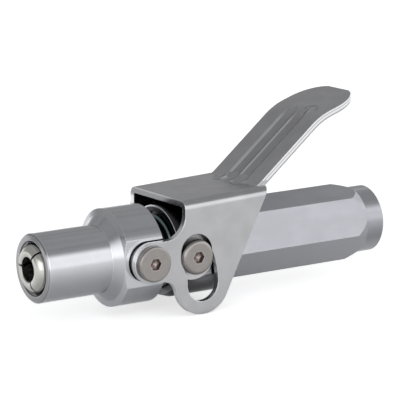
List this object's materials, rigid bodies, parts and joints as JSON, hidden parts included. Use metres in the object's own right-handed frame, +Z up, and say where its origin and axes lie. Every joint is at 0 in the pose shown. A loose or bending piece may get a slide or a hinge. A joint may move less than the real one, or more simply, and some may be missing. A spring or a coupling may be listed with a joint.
{
  "type": "grease coupler",
  "caption": "Quick-release grease coupler: gripping jaws in a sliding tapered nose sleeve, a stamped cam lever, and a hexagonal inlet body with a female threaded port.",
  "frame": {"origin": "centre of the threaded port's mouth in the rear face of the inlet collar", "axes": "+X out of the inlet port along the coupler's axis, nose at -X; +Z up, towards the lever's top plate; -Y is the pictured side"},
  "size_m": [0.0936, 0.0268, 0.0462],
  "materials": {
    "polished_chrome": "polished",
    "satin_plated_steel": "satin",
    "satin_stamped_steel": "satin",
    "ground_steel": "ground",
    "hardened_steel": "smooth",
    "screw_steel": "satin",
    "washer_steel": "satin",
    "spring_steel": "oiled",
    "ball_steel": "polished",
    "brass": "machined",
    "black_rubber": "matte",
    "gasket_fibre": "matte"
  },
  "bodies": {
    "body": {"core_tube": "ground_steel", "core_o_ring": "black_rubber", "jaw_ring": "black_rubber", "carrier_body": "polished_chrome", "inlet_body": "satin_plated_steel", "seat_gasket": "gasket_fibre", "spring_washer": "ground_steel", "cam_screw_near": "screw_steel", "cam_screw_far": "screw_steel", "cam_washer_near": "washer_steel", "cam_washer_far": "washer_steel", "release_spring": "spring_steel", "seal_spring": "spring_steel", "check_spring": "spring_steel"},
    "sleeve": {"lock_sleeve": "polished_chrome", "pivot_screw_near": "screw_steel", "pivot_screw_far": "screw_steel", "pivot_washer_near": "washer_steel", "pivot_washer_far": "washer_steel"},
    "lever": {"lever": "satin_stamped_steel"},
    "jaw_1": {"jaw_1": "hardened_steel"},
    "jaw_2": {"jaw_2": "hardened_steel"},
    "jaw_3": {"jaw_3": "hardened_steel"},
    "seal": {"face_seal": "black_rubber", "seal_plunger": "brass", "plunger_o_ring": "black_rubber"},
    "check_ball": {"check_ball": "ball_steel"}
  },
  "joints": [
    {"name": "sleeve_slide", "type": "slide", "parent": "body", "child": "sleeve", "axis": [-1, 0, 0], "range_m": [0, 0.003], "deforming": ["release_spring"]},
    {"name": "lever_hinge", "type": "hinge", "parent": "sleeve", "child": "lever", "pos_m": [-0.06776, 0, 0], "axis": [0, -1, 0], "range_deg": [0, 26]},
    {"name": "jaw_1_tilt", "type": "hinge", "parent": "body", "child": "jaw_1", "pos_m": [-0.0784, 0.0024, 0.00593], "axis": [0, 0.9272, -0.3746], "range_deg": [0, 1.8]},
    {"name": "jaw_2_tilt", "type": "hinge", "parent": "body", "child": "jaw_2", "pos_m": [-0.0784, 0.00394, -0.00504], "axis": [0, -0.788, -0.6157], "range_deg": [0, 1.8]},
    {"name": "jaw_3_tilt", "type": "hinge", "parent": "body", "child": "jaw_3", "pos_m": [-0.0784, -0.00634, -0.00089], "axis": [0, -0.1392, 0.9903], "range_deg": [0, 1.8]},
    {"name": "seal_slide", "type": "slide", "parent": "body", "child": "seal", "axis": [1, 0, 0], "range_m": [0, 0.0008], "stiffness_N_per_m": 300, "deforming": ["seal_spring"]},
    {"name": "ball_lift", "type": "slide", "parent": "body", "child": "check_ball", "axis": [-1, 0, 0], "range_m": [0, 0.0009], "stiffness_N_per_m": 80, "deforming": ["check_spring"]}
  ],
  "couplings": [
    {"joint": "sleeve_slide", "follows": "lever_hinge", "m_per_rad": 0.0066111},
    {"joint": "jaw_1_tilt", "follows": "lever_hinge", "ratio": 0.06923},
    {"joint": "jaw_2_tilt", "follows": "lever_hinge", "ratio": 0.06923},
    {"joint": "jaw_3_tilt", "follows": "lever_hinge", "ratio": 0.06923}
  ]
}
